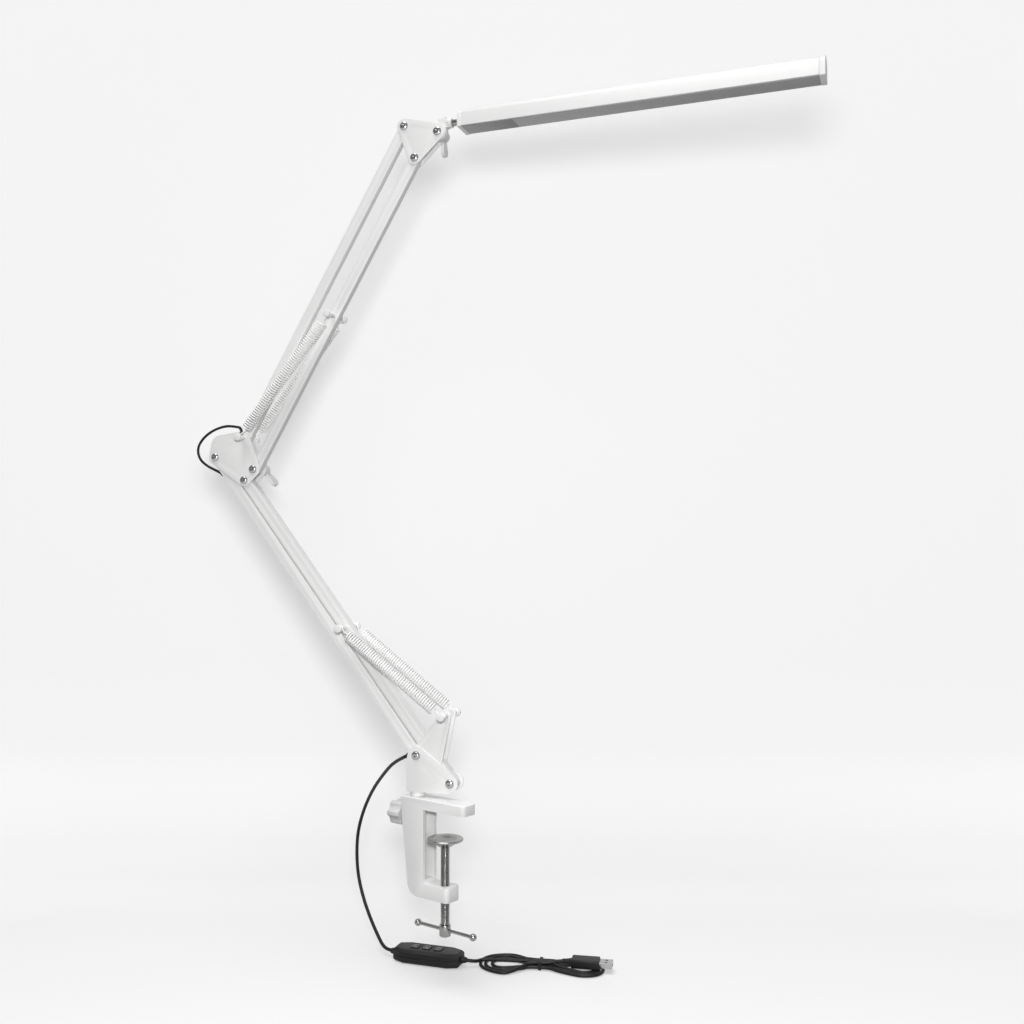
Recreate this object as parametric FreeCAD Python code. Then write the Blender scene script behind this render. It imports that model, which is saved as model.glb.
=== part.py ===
import FreeCAD, Part

import math
import os

from FreeCAD import Placement, Rotation, Vector

# Swing arm desk lamp. Millimetres, +Z up. The origin is on the underside of the clamp's top jaw,
# on the clamp screw's axis. +X runs along the jaw to its tip.
# The arm is drawn in its own plane: x away from the post's axis, y its depth, z as in the row frame.

# Where the arm stands on the clamp
POST_X = -32.2
ARM_TURN = 17.3

# Pivots of the two parallelogram arms, as (x, z) in the arm's plane
LOWER_ARM = 347.0
LOWER_ANGLE = 128.25
UPPER_ARM = 327.0
UPPER_ANGLE = 59.1
A0 = (1.0, 46.3)
B0 = (33.8, 23.4)
ELBOW_STEP = (42.5, -12.5)
UPPER_LINK = (-10.6, 30.3)
HEAD_STEP = (22.6, 21.3)
EAR_TIP = (29.8, 82.8)
LOWER_PIN_AT = 171.0
UPPER_PIN_AT = 165.0

# Bars and plates
BAR_WIDTH = 10.0
BAR_WALL = 1.0
LOWER_DEPTH = 9.6
UPPER_DEPTH = 6.0
CHEEK_IN, CHEEK_OUT = 6.1, 7.3
EAR_IN = 5.0
ELBOW_IN, ELBOW_OUT = 5.0, 6.2
HEAD_IN, HEAD_OUT = 3.2, 4.4
WEB_LOW, WEB_HIGH = 14.0, 15.2

# Fasteners: bolts turn in holes with a running clearance
BOLT = 2.0
HOLE = 2.05
BOLT_HEAD = 4.0
HEAD_RISE = 2.3
NUT_RISE = 2.2
NUT_DOME = 1.6
NUT_ACROSS = 4.0

# Springs
SPRING_OUT, SPRING_IN = 5.5, 4.2
SPRING_WIRE = 0.7
SPRING_GAP = 10.5
LOWER_SPRING_Y = 14.5
UPPER_SPRING_Y = 12.4
PIN_CAP = 3.8

# Clamp
JAW_TIP, JAW_HEEL, JAW_TOP = 28.3, -45.5, 9.5
CLAMP_HALF = 9.0
SPINE_IN, SPINE_FOOT = -18.0, -36.9
LUG_TOP, LUG_LOW, LUG_TIP = -64.5, -77.0, 9.8
CLAMP_WALL = 3.0
POST_RADIUS = 5.0
SCREW = 4.0
BAR_Z, BAR_RADIUS, BAR_REACH = -103.0, 1.5, 31.8
BALL = 3.2
PAD_RIM, PAD_RADIUS = -23.4, 16.0
KNOB_Z, KNOB_IN, KNOB_OUT, KNOB_RADIUS = -8.0, -46.9, -60.2, 11.0

# Lamp head
STUB_Z, STUB_RADIUS = 615.3, 3.0
HEAD_START, HEAD_END = 41.3, 358.4
HEAD_LOW, HEAD_HIGH, HEAD_HALF = 607.0, 626.0, 11.2
HEAD_WALL = 1.2
CAP_IN, CAP_OUT = 4.0, 5.0
SEAM_X = 93.0
CHIPS = 24

# Cord, its controller and the hank on the surface below
FLOOR = -157.0
CORD = 3.2
CABLE = 2.5
CONTROLLER_AT, CONTROLLER_TURN = (-11.4, 48.7), 1.4
CONTROLLER = (66.5, 24.0, 13.0)
HANK_AT, HANK_TURN = (34.5, 62.3), 9.4
HANK_TIE_X = 58.0
BUTTONS = (-13.0, -1.5, 10.0)
PLUG_Y, PLUG_START, PLUG_BODY, PLUG_SHELL = 1.5, 86.8, (25.7, 15.0, 8.0), (12.0, 12.0, 4.5)

SUPPLY_ROUTE = [
    (-11.0, 0.0, 44.0),
    (-27.5, 9.0, 36.5),
    (-45.5, 24.0, 22.0),
    (-66.5, 42.0, 2.0),
    (-83.0, 55.0, -21.0),
    (-93.2, 62.0, -44.4),
    (-96.8, 66.0, -67.1),
    (-95.1, 66.0, -89.3),
    (-88.4, 64.0, -109.5),
    (-78.5, 60.0, -127.0),
    (-68.0, 55.5, -141.0),
    (-59.0, 50.5, -149.6),
    (-49.9, 47.8, -150.5),
]
LINK_ROUTE = [
    (27.1, 49.6, -150.5),
    (31.6, 50.9, -151.1),
    (35.8, 54.4, -151.9),
    (38.6, 59.0, -152.4),
]
ELBOW_ROUTE = [
    (-185.5, -8.8, 346.6),
    (-196.0, -8.2, 348.6),
    (-207.5, -6.5, 347.6),
    (-219.5, -4.5, 344.2),
    (-230.5, -2.5, 338.0),
    (-238.0, -1.0, 329.0),
    (-236.5, 0.0, 318.5),
    (-228.0, 0.0, 311.5),
    (-218.0, 0.0, 307.0),
    (-210.0, 0.0, 303.2),
]
RELIEF_ARC = [(-186.2, -6.3, 339.8), (-182.9, -8.4, 343.6), (-185.5, -8.8, 346.6)]


def along(start, length, angle):
    """The point a length away from start, at an angle above +x in the arm's plane."""
    turn = math.radians(angle)
    return (start[0] + length * math.cos(turn), start[1] + length * math.sin(turn))


def step(point, by):
    return (point[0] + by[0], point[1] + by[1])


A1 = along(A0, LOWER_ARM, LOWER_ANGLE)
B1 = along(B0, LOWER_ARM, LOWER_ANGLE)
D0 = step(A1, ELBOW_STEP)
C0 = step(D0, UPPER_LINK)
D1 = along(D0, UPPER_ARM, UPPER_ANGLE)
C1 = along(C0, UPPER_ARM, UPPER_ANGLE)
HEAD_PIVOT = step(D1, HEAD_STEP)
LOWER_PIN = along(B0, LOWER_PIN_AT, LOWER_ANGLE)
UPPER_PIN = along(D0, UPPER_PIN_AT, UPPER_ANGLE)


def save(name, *solids):
    """Write one sub-part, its separate pieces together."""
    shape = solids[0] if len(solids) == 1 else Part.makeCompound(list(solids))
    shape.exportStep(os.path.join("parts", name + ".step"))


def save_arm(name, *solids):
    """Write a sub-part drawn in the arm's plane, turned to where the arm stands on the clamp."""
    place = Placement(Vector(POST_X, 0, 0), Rotation(Vector(0, 0, 1), ARM_TURN))
    save(name, *[s.transformed(place.toMatrix(), copy=True) for s in solids])


def rod(point, low, high, radius):
    """A round bar along y through a point of the arm's plane."""
    return Part.makeCylinder(radius, high - low, Vector(point[0], low, point[1]), Vector(0, 1, 0))


def box(low, high):
    size = [b - a for a, b in zip(low, high)]
    return Part.makeBox(*size, Vector(*low))


def outline(circles):
    """A closed outline round circles ((x, z), radius), taken counter-clockwise: tangents and arcs."""
    normals = []
    for (here, r_here), (ahead, r_ahead) in zip(circles, circles[1:] + circles[:1]):
        run = (ahead[0] - here[0], ahead[1] - here[1])
        length = math.hypot(*run)
        normals.append(math.atan2(run[1], run[0]) - math.acos((r_here - r_ahead) / length))
    edges = []
    for i, (centre, radius) in enumerate(circles):
        after = circles[(i + 1) % len(circles)]
        first = normals[i - 1]
        sweep = (normals[i] - first) % (2 * math.pi)
        marks = [along(centre, radius, math.degrees(first + sweep * part)) for part in (0, 0.5, 1)]
        arc = [Vector(x, 0, z) for x, z in marks]
        edges.append(Part.Arc(*arc).toShape())
        leave = along(after[0], after[1], math.degrees(normals[i]))
        edges.append(Part.LineSegment(arc[2], Vector(leave[0], 0, leave[1])).toShape())
    return Part.Wire(edges)


def plate(circles, low, high):
    """A flat plate with that outline, from depth low to depth high."""
    face = Part.Face(outline(circles))
    face.translate(Vector(0, low, 0))
    return face.extrude(Vector(0, high - low, 0))


def drilled(shape, points, radius=HOLE):
    for point in points:
        shape = shape.cut(rod(point, -30, 30, radius))
    return shape


def bolt(point, outer, far):
    """A button-head bolt: its head stands in front of -outer, its shank reaches depth far."""
    shank = rod(point, -outer, far, BOLT)
    head = rod(point, -outer - HEAD_RISE, -outer, BOLT_HEAD)
    rim = [edge for edge in head.Edges if is_ring(edge, -outer - HEAD_RISE)]
    head = head.makeFillet(1.4, rim)
    socket = rod(point, -outer - HEAD_RISE, -outer - HEAD_RISE + 1.2, 1.3)
    return head.fuse(shank).cut(socket)


def is_ring(edge, depth):
    """True for a round edge that lies at that depth."""
    return abs(edge.BoundBox.YMin - depth) < 1e-6 and edge.BoundBox.YLength < 1e-6


def dome_nut(point, outer):
    """A domed hexagon nut seated at depth outer, its bore clear of the bolt."""
    corners = [along(point, NUT_ACROSS, 60 * i) for i in range(7)]
    hexagon = Part.Face(Part.makePolygon([Vector(x, outer, z) for x, z in corners]))
    body = hexagon.extrude(Vector(0, NUT_RISE, 0))
    dome = Part.makeCone(3.2, 1.6, NUT_DOME, Vector(point[0], outer + NUT_RISE, point[1]), Vector(0, 1, 0))
    return body.fuse(dome).cut(rod(point, outer - 1, outer + NUT_RISE, HOLE))


def washer(point, low, high, radius=BOLT_HEAD):
    return rod(point, low, high, radius).cut(rod(point, low, high, HOLE))


def pair(make, inner, outer, *rest):
    """The same piece on both sides of the arm, between depths inner and outer."""
    return [make(*rest, -outer, -inner), make(*rest, inner, outer)]


def bar(start, length, angle, depth):
    """A square tube with rounded ends, open inside from near its lower pivot out through its upper end."""
    end = along(start, length, angle)
    half = depth / 2
    radius = BAR_WIDTH / 2
    solid = plate([(start, radius), (end, radius)], -half, half)
    inner = BAR_WIDTH / 2 - BAR_WALL
    hollow = box((12.0, -half + BAR_WALL, -inner), (length + 2 * radius, half - BAR_WALL, inner))
    hollow.rotate(Vector(0, 0, 0), Vector(0, 1, 0), -angle)
    hollow.translate(Vector(start[0], 0, start[1]))
    return drilled(solid.cut(hollow), [start, end])


def spring(start, end, depth):
    """A tension spring as a plain tube, with an eye round the pin at each end."""
    first = Vector(start[0], depth, start[1])
    last = Vector(end[0], depth, end[1])
    line = last - first
    reach = line.Length
    line.normalize()
    coil_start = first + line * SPRING_GAP
    coil = Part.makeCylinder(SPRING_OUT, reach - 2 * SPRING_GAP, coil_start, line)
    inside = reach - 2 * SPRING_GAP - 3.0
    coil = coil.cut(Part.makeCylinder(SPRING_IN, inside, coil_start + line * 1.5, line))
    solid = coil
    for pin, way in ((first, line), (last, line * -1)):
        eye = Part.makeTorus(BOLT + 0.1 + SPRING_WIRE, SPRING_WIRE, pin, Vector(0, 1, 0))
        shank = Part.makeCylinder(SPRING_WIRE, SPRING_GAP - BOLT, pin + way * (BOLT + 0.5), way)
        solid = solid.fuse([eye, shank])
    return solid


def capped_pin(point, spring_y, inner=None):
    """A spring pin with a cap outside each spring. Given inner, it is two studs that start there."""
    tip = spring_y + 2.4
    caps = pair(cap_end, tip, tip + 2.6, point)
    if inner is None:
        return [rod(point, -tip, tip, BOLT).fuse(caps)]
    studs = pair(rod_between, inner, tip, point)
    return [stud.fuse(cap) for stud, cap in zip(studs, caps)]


def rod_between(point, low, high):
    return rod(point, low, high, BOLT)


def cap_end(point, low, high):
    return rod(point, low, high, PIN_CAP)


def wing_nut(point, seat, wing_low, wing_high, span, angle):
    """A wing nut behind the arm: a round hub, bored through, and two wings that lean back from it."""
    hub = Part.makeCylinder(5.2, wing_low + 5.0 - seat, Vector(0, seat, 0), Vector(0, 1, 0))
    solid = hub
    for side in (1, -1):
        tip = (side * (span / 2 - 5.0), wing_high - 5.0)
        root = (side * 2.0, wing_low + 2.5)
        circles = [(root, 2.5), (tip, 5.0)]
        wing = Part.Face(outline(circles)).extrude(Vector(0, 3.0, 0))
        wing.translate(Vector(0, -1.5, 0))
        wing.rotate(Vector(0, 0, 0), Vector(1, 0, 0), -90)
        solid = solid.fuse(wing)
    solid = solid.cut(Part.makeCylinder(HOLE, wing_high - seat, Vector(0, seat, 0), Vector(0, 1, 0)))
    solid.rotate(Vector(0, 0, 0), Vector(0, 1, 0), -angle)
    solid.translate(Vector(point[0], 0, point[1]))
    return solid


def tube(route, diameter, name):
    """A cord along straight runs joined by arcs, each arc as large as its two runs allow."""
    points = [Vector(*p) for p in route]
    edges = []
    start = points[0]
    length = 0.0
    tightest = 1e9
    for before, corner, after in zip(points, points[1:], points[2:]):
        back = before - corner
        ahead = after - corner
        trim = 0.45 * min(back.Length, ahead.Length)
        back.normalize()
        ahead.normalize()
        half_turn = (math.pi - back.getAngle(ahead)) / 2
        radius = trim / math.tan(half_turn)
        inward = back + ahead
        inward.normalize()
        middle = corner + inward * (radius / math.cos(half_turn) - radius)
        arc_start = corner + back * trim
        arc_end = corner + ahead * trim
        edges.append(Part.LineSegment(start, arc_start).toShape())
        edges.append(Part.Arc(arc_start, middle, arc_end).toShape())
        length += (arc_start - start).Length + 2 * half_turn * radius
        start = arc_end
        tightest = min(tightest, radius)
    edges.append(Part.LineSegment(start, points[-1]).toShape())
    length += (points[-1] - start).Length
    ring = Part.Wire(Part.Circle(points[0], points[1] - points[0], diameter / 2).toShape())
    solid = Part.Wire(edges).makePipeShell([ring], True, False)
    expected = math.pi * diameter ** 2 / 4 * length
    print(name, "length", round(length, 1), "tightest arc", round(tightest, 1))
    print(name, "volume over section times length", round(solid.Volume / expected, 4))
    return solid


def clamp_outline():
    """The clamp's C shape from the side: jaw, tapering spine with a rounded foot, and lug."""
    foot = 12.0
    corner = SPINE_FOOT + foot
    marks = [
        (JAW_TIP, 0),
        (JAW_TIP, JAW_TOP),
        (JAW_HEEL, JAW_TOP),
        (SPINE_FOOT, LUG_LOW + foot),
    ]
    back = [Vector(x, 0, z) for x, z in marks]
    bend = along((corner, LUG_LOW + foot), foot, 225)
    end = Vector(corner, 0, LUG_LOW)
    lug = [(corner, LUG_LOW), (LUG_TIP, LUG_LOW), (LUG_TIP, LUG_TOP)]
    rest = lug + [(SPINE_IN, LUG_TOP), (SPINE_IN, 0), marks[0]]
    front = [Vector(x, 0, z) for x, z in rest]
    edges = [Part.LineSegment(a, b).toShape() for a, b in zip(back, back[1:])]
    edges.append(Part.Arc(back[-1], Vector(bend[0], 0, bend[1]), end).toShape())
    edges += [Part.LineSegment(a, b).toShape() for a, b in zip(front, front[1:])]
    return Part.Wire(edges)


def clamp_frame():
    """The cast C frame: a channel spine open towards the jaw, a post boss, and a tapped lug."""
    face = Part.Face(clamp_outline())
    face.translate(Vector(0, -CLAMP_HALF, 0))
    body = face.extrude(Vector(0, 2 * CLAMP_HALF, 0))
    tips = [e for e in body.Edges if is_upright_corner(e)]
    body = body.makeFillet(4.0, tips)
    top = [e for e in body.Edges if e.BoundBox.ZMin > JAW_TOP - 0.01]
    body = body.makeFillet(1.2, top)
    inner = CLAMP_HALF - CLAMP_WALL
    channel = [
        (JAW_HEEL + CLAMP_WALL, 0),
        (SPINE_FOOT + CLAMP_WALL, LUG_TOP + 3.0),
        (SPINE_IN + 1, LUG_TOP + 3.0),
        (SPINE_IN + 1, 0),
        (JAW_HEEL + CLAMP_WALL, 0),
    ]
    pocket = Part.Face(Part.makePolygon([Vector(x, -inner, z) for x, z in channel]))
    body = body.cut(pocket.extrude(Vector(0, 2 * inner, 0)))
    boss = Part.makeCylinder(POST_RADIUS + 2.5, 24.0, Vector(POST_X, 0, -24.0))
    wall = box((JAW_HEEL + 1.5, -4.0, -20.0), (POST_X, 4.0, 0.0))
    body = body.fuse([boss, wall])
    body = body.cut(Part.makeCylinder(POST_RADIUS + 0.05, 40.0, Vector(POST_X, 0, -30.0)))
    body = body.cut(Part.makeCylinder(SCREW + 0.05, 20.0, Vector(0, 0, LUG_LOW - 2)))
    lock_hole = Part.makeCylinder(2.55, 16.0, Vector(JAW_HEEL - 2.0, 0, KNOB_Z), Vector(1, 0, 0))
    return body.cut(lock_hole)


def is_upright_corner(edge):
    """True for the upright edges at the jaw's tip and the lug's tip."""
    bounds = edge.BoundBox
    at_tip = abs(bounds.XMin - JAW_TIP) < 0.01 or abs(bounds.XMin - LUG_TIP) < 0.01
    return at_tip and bounds.XLength < 0.01 and bounds.YLength < 0.01


def clamp_screw():
    """The M8 screw: its top turns in the pad's socket, its lower end is cross-drilled."""
    top = PAD_RIM - 5.75
    shank = Part.makeCylinder(SCREW, top - BAR_Z - 4.0, Vector(0, 0, BAR_Z + 4.0))
    end = Part.makeCylinder(5.0, 10.5, Vector(0, 0, BAR_Z - 5.5))
    end = end.cut(Part.makeCylinder(BAR_RADIUS + 0.08, 20, Vector(-10, 0, BAR_Z), Vector(1, 0, 0)))
    return shank.fuse(end)


def tommy_bar():
    rail = Part.makeCylinder(BAR_RADIUS, 2 * BAR_REACH, Vector(-BAR_REACH, 0, BAR_Z), Vector(1, 0, 0))
    balls = [Part.makeSphere(BALL, Vector(side * BAR_REACH, 0, BAR_Z)) for side in (-1, 1)]
    return rail.fuse(balls)


def pressure_pad():
    """A dished disc on a cone, with a socket underneath for the screw's end."""
    rim = Part.makeCylinder(PAD_RADIUS, 2.2, Vector(0, 0, PAD_RIM - 2.2))
    cone = Part.makeCone(5.6, PAD_RADIUS - 3.0, 5.0, Vector(0, 0, PAD_RIM - 7.2))
    dish = Part.makeCone(5.0, 10.5, 3.2, Vector(0, 0, PAD_RIM - 3.2))
    socket = Part.makeCylinder(SCREW + 0.06, 4.0, Vector(0, 0, PAD_RIM - 9.65))
    return rim.fuse(cone).cut(dish).cut(socket)


def lock_knob():
    """A six-lobed knob and the lock screw that it turns against the post."""
    knob = Part.makeCylinder(KNOB_RADIUS, KNOB_IN - KNOB_OUT, Vector(KNOB_OUT, 0, KNOB_Z), Vector(1, 0, 0))
    for i in range(6):
        lobe = along((0, KNOB_Z), KNOB_RADIUS + 4.0, 60 * i + 30)
        scoop = Part.makeCylinder(6.0, 20.0, Vector(KNOB_OUT - 2, lobe[0], lobe[1]), Vector(1, 0, 0))
        knob = knob.cut(scoop)
    reach = POST_X - POST_RADIUS - 0.15 - KNOB_OUT
    shaft = Part.makeCylinder(2.5, reach - 4.0, Vector(KNOB_OUT + 4.0, 0, KNOB_Z), Vector(1, 0, 0))
    return knob.cut(shaft), shaft


def base_bracket():
    """Two cheeks joined by a bottom web. The post stands under the web."""
    corners = [((-6.7, 15.5), 1.5), ((30.0, 18.0), 4.0), (B0, 7.5), (A0, 8.0), ((-6.2, 42.0), 2.0)]
    cheeks = pair(plate, CHEEK_IN, CHEEK_OUT, corners)
    web = box((-6.7, -CHEEK_OUT, WEB_LOW), (30.0, CHEEK_OUT, WEB_HIGH))
    return drilled(cheeks[0].fuse([cheeks[1], web]), [A0, B0])


def base_post():
    collar = Part.makeCylinder(7.0, WEB_LOW - 9.6, Vector(0, 0, 9.6))
    post = Part.makeCylinder(POST_RADIUS, 9.6 + 20.0, Vector(0, 0, -20.0))
    return collar.fuse(post)


def spring_ear(low, high):
    """The plate inside a cheek that carries the lower springs' stud."""
    blank = plate([(A0, 6.5), ((18.0, 38.0), 7.0), (EAR_TIP, 4.5)], low, high)
    return drilled(blank, [A0, EAR_TIP])


def elbow_plate(low, high):
    return drilled(plate([(B1, 6.0), (D0, 7.5), (C0, 6.5), ((-208.5, 330.0), 10.0), (A1, 7.0)], low, high),
                   [A1, B1, C0, D0])


def head_plate(low, high):
    return drilled(plate([(D1, 6.5), (HEAD_PIVOT, 7.5), (C1, 7.0)], low, high), [C1, D1, HEAD_PIVOT])


def head_hub():
    """The knuckle between the head plates, with the boss that holds the stub."""
    knuckle = rod(HEAD_PIVOT, -3.0, 3.0, 8.0)
    neck = box((HEAD_PIVOT[0], -3.0, STUB_Z - 4.2), (29.0, 3.0, STUB_Z + 4.2))
    boss = Part.makeCylinder(4.4, 4.0, Vector(28.4, 0, STUB_Z), Vector(1, 0, 0))
    hole = Part.makeCylinder(STUB_RADIUS + 0.02, 6.0, Vector(27.0, 0, STUB_Z), Vector(1, 0, 0))
    return drilled(knuckle.fuse([neck, boss]), [HEAD_PIVOT]).cut(hole)


def head_section(inset, low, crown):
    """The lamp head's arched cross-section, in the plane across its length."""
    half = HEAD_HALF - inset
    shoulder = HEAD_HIGH - 7.0
    corners = ((-half, low), (-half, shoulder), (half, shoulder), (half, low))
    points = [Vector(HEAD_START, y, z) for y, z in corners]
    top = Vector(HEAD_START, 0, crown)
    sides = [Part.LineSegment(points[0], points[1]).toShape(), Part.Arc(points[1], top, points[2]).toShape()]
    sides.append(Part.LineSegment(points[2], points[3]).toShape())
    sides.append(Part.LineSegment(points[3], points[0]).toShape())
    return Part.Face(Part.Wire(sides))


def head_block(inset, low, crown, start, end):
    block = head_section(inset, low, crown).extrude(Vector(end - start, 0, 0))
    block.translate(Vector(start - HEAD_START, 0, 0))
    return block


def save_clamp():
    save("clamp_frame", clamp_frame())
    save("pressure_pad", pressure_pad())
    save("clamp_screw", clamp_screw())
    save("tommy_bar", tommy_bar())
    knob, shaft = lock_knob()
    save("lock_knob", knob)
    save("lock_screw", shaft)


def save_base():
    save_arm("base_bracket", base_bracket())
    save_arm("base_post", base_post())
    save_arm("spring_ears", *pair(spring_ear, EAR_IN + 0.1, CHEEK_IN))
    save_arm("ear_studs", *capped_pin(EAR_TIP, LOWER_SPRING_Y, EAR_IN + 0.1))
    save_arm("base_bolts", *[bolt(p, CHEEK_OUT, CHEEK_OUT + NUT_RISE) for p in (A0, B0)])
    save_arm("base_nuts", *[dome_nut(p, CHEEK_OUT) for p in (A0, B0)])
    save_arm("base_washers", *pair(washer, LOWER_DEPTH / 2 + 0.1, CHEEK_IN, B0))
    grip = box((-8.0, -CHEEK_IN, 38.0), (-5.4, CHEEK_IN, 45.3))
    nose = Part.makeCylinder(2.7, 3.0, Vector(-11.0, 0, 44.0), Vector(1, 0, 0))
    save_arm("cord_grommet", grip.fuse(nose))


def save_lower_arm():
    entry = Vector(*ELBOW_ROUTE[-1])
    way = entry - Vector(*ELBOW_ROUTE[-2])
    way.normalize()
    port = Part.makeCylinder(2.1, 9.0, entry, way)
    save_arm("lower_bar_a", bar(A0, LOWER_ARM, LOWER_ANGLE, LOWER_DEPTH).cut(port))
    save_arm("bar_cable_grommet", Part.makeCylinder(2.05, 6.5, entry, way))
    save_arm("lower_bar_b", drilled(bar(B0, LOWER_ARM, LOWER_ANGLE, LOWER_DEPTH), [LOWER_PIN]))
    save_arm("lower_spring_pin", *capped_pin(LOWER_PIN, LOWER_SPRING_Y))
    save_arm("lower_springs", *[spring(EAR_TIP, LOWER_PIN, side * LOWER_SPRING_Y) for side in (-1, 1)])


def save_elbow():
    front, rear = pair(elbow_plate, ELBOW_IN, ELBOW_OUT)
    save_arm("elbow_plates", front.cut(rod(RELIEF_ARC[0][::2], -10, -4, 1.9)), rear)
    bolts = [bolt(p, ELBOW_OUT, ELBOW_OUT + NUT_RISE) for p in (A1, B1)]
    save_arm("elbow_bolts", *bolts, bolt(D0, ELBOW_OUT, 18.0))
    save_arm("elbow_nuts", *[dome_nut(p, ELBOW_OUT) for p in (A1, B1)])
    save_arm("elbow_spring_pin", *capped_pin(C0, UPPER_SPRING_Y))
    spacers = [w for p in (C0, D0) for w in pair(washer, UPPER_DEPTH / 2 + 0.1, ELBOW_IN, p)]
    save_arm("elbow_spacers", *spacers)
    save_arm("elbow_wing_nut", wing_nut(D0, ELBOW_OUT + 0.3, 11.5, 25.0, 35.0, -57.0))
    save_arm("elbow_cable_relief", cable_relief())
    save_arm("elbow_cable", tube(ELBOW_ROUTE, CABLE, "elbow_cable"))


def cable_relief():
    """A short moulded bend that brings the cable out of the plate beside the spring pin."""
    marks = [Vector(*p) for p in RELIEF_ARC]
    arc = Part.Arc(*marks)
    start = arc.tangent(arc.FirstParameter)[0]
    ring = Part.Wire(Part.Circle(marks[0], start, CABLE / 2 + 0.1).toShape())
    return Part.Wire(arc.toShape()).makePipeShell([ring], True, False)


def save_upper_arm():
    save_arm("upper_bar_d", drilled(bar(D0, UPPER_ARM, UPPER_ANGLE, UPPER_DEPTH), [UPPER_PIN]))
    save_arm("upper_bar_c", bar(C0, UPPER_ARM, UPPER_ANGLE, UPPER_DEPTH))
    save_arm("upper_spring_pin", *capped_pin(UPPER_PIN, UPPER_SPRING_Y))
    run = (UPPER_PIN[0] - C0[0], UPPER_PIN[1] - C0[1])
    hook_end = box((math.hypot(*run) - SPRING_GAP, -30, -20), (math.hypot(*run) + 20, 30, 20))
    hook_end.rotate(Vector(0, 0, 0), Vector(0, 1, 0), -math.degrees(math.atan2(run[1], run[0])))
    hook_end.translate(Vector(C0[0], 0, C0[1]))
    springs = [spring(C0, UPPER_PIN, side * UPPER_SPRING_Y) for side in (-1, 1)]
    save_arm("upper_springs", *[s.cut(hook_end) for s in springs])
    save_arm("upper_spring_hooks", *[s.common(hook_end) for s in springs])


def save_head_fork():
    save_arm("head_plates", *pair(head_plate, HEAD_IN, HEAD_OUT))
    bolts = [bolt(p, HEAD_OUT, HEAD_OUT + NUT_RISE) for p in (C1, D1)]
    save_arm("head_bolts", *bolts, bolt(HEAD_PIVOT, HEAD_OUT, 11.0))
    save_arm("head_nuts", *[dome_nut(p, HEAD_OUT) for p in (C1, D1)])
    save_arm("head_wing_nut", wing_nut(HEAD_PIVOT, HEAD_OUT + 0.3, 8.0, 17.5, 37.0, 90.0))


def save_head():
    save_arm("head_hub", head_hub())
    stub = Part.makeCylinder(STUB_RADIUS, 22.0, Vector(28.0, 0, STUB_Z), Vector(1, 0, 0))
    save_arm("head_stub", stub)
    inner_start = HEAD_START + CAP_IN
    inner_end = HEAD_END - CAP_OUT
    shell = head_block(0, HEAD_LOW + 0.6, HEAD_HIGH, inner_start, inner_end)
    core = head_block(HEAD_WALL, HEAD_LOW, HEAD_HIGH - HEAD_WALL, inner_start, inner_end)
    save_arm("head_housing", shell.cut(core))
    bore = Part.makeCylinder(STUB_RADIUS + 0.05, 30.0, Vector(HEAD_START - 1, 0, STUB_Z), Vector(1, 0, 0))
    save_arm("head_end_inner", head_block(0, HEAD_LOW, HEAD_HIGH, HEAD_START, inner_start).cut(bore))
    save_arm("head_end_outer", head_block(0, HEAD_LOW, HEAD_HIGH, inner_end, HEAD_END))
    half = HEAD_HALF - HEAD_WALL - 0.05
    under = ((HEAD_LOW, HEAD_LOW + 1.6), (HEAD_LOW, HEAD_LOW + 1.6))
    for name, (start, end), (low, high) in zip(
        ("driver_cover", "light_diffuser"), ((inner_start, SEAM_X), (SEAM_X + 0.3, inner_end)), under
    ):
        save_arm(name, box((start, -half, low), (end, half, high)))
    board = box((SEAM_X + 1.0, -8.0, 612.0), (inner_end - 1.0, 8.0, 613.4))
    ledges = [box((SEAM_X + 1.0, s - 1.0, 613.4), (inner_end - 1.0, s + 1.0, 616.0)) for s in (-7.0, 7.0)]
    save_arm("led_board", board.fuse(ledges))
    pitch = (inner_end - SEAM_X - 8.0) / CHIPS
    chips = [SEAM_X + 4.0 + pitch * (i + 0.5) for i in range(CHIPS)]
    save_arm("led_chips", *[box((x - 1.4, -1.8, 611.2), (x + 1.4, 1.8, 612.0)) for x in chips])
    driver = box((inner_start + 6.5, -7.0, 609.0), (SEAM_X - 4.0, 7.0, 610.4))
    save_arm("driver_board", driver)


def controller_case():
    """The in-line controller's two shells, drawn about their own centre on the surface."""
    length, width, height = CONTROLLER
    end, side, shoulder = 7.5, width / 2, length / 2 - 11.0
    corners = [(length / 2, end), (shoulder, side), (-shoulder, side), (-length / 2, end)]
    corners += [(-x, -y) for x, y in corners]
    ring = Part.makePolygon([Vector(x, y, 0) for x, y in corners + corners[:1]])
    body = Part.Face(ring).extrude(Vector(0, 0, height))
    rims = [e for e in body.Edges if e.BoundBox.ZLength < 1e-6]
    body = body.makeChamfer(2.2, rims)
    room = box((-length / 2 + 5, -6.4, 1.6), (length / 2 - 5, 6.4, height - 1.6))
    room = room.fuse(box((-shoulder + 2, -side + 2.4, 2.4), (shoulder - 2, side - 2.4, height - 2.4)))
    body = body.cut(room)
    split = height / 2
    lower = body.common(box((-50, -20, 0), (50, 20, split)))
    upper = body.common(box((-50, -20, split), (50, 20, height)))
    for x in BUTTONS:
        upper = upper.cut(box((x - 3.8, -4.3, split), (x + 3.8, 4.3, height + 1)))
    return lower, upper


def button(x):
    """A key with a thin flange that keeps it under the case's lid."""
    height = CONTROLLER[2]
    key = box((x - 3.5, -4.0, height - 2.5), (x + 3.5, 4.0, height + 0.7))
    key = key.makeFillet(0.5, [e for e in key.Edges if e.BoundBox.ZMin > height])
    flange = box((x - 4.3, -4.8, height - 3.4), (x + 4.3, 4.8, height - 2.5))
    return key.fuse(flange)


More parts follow.
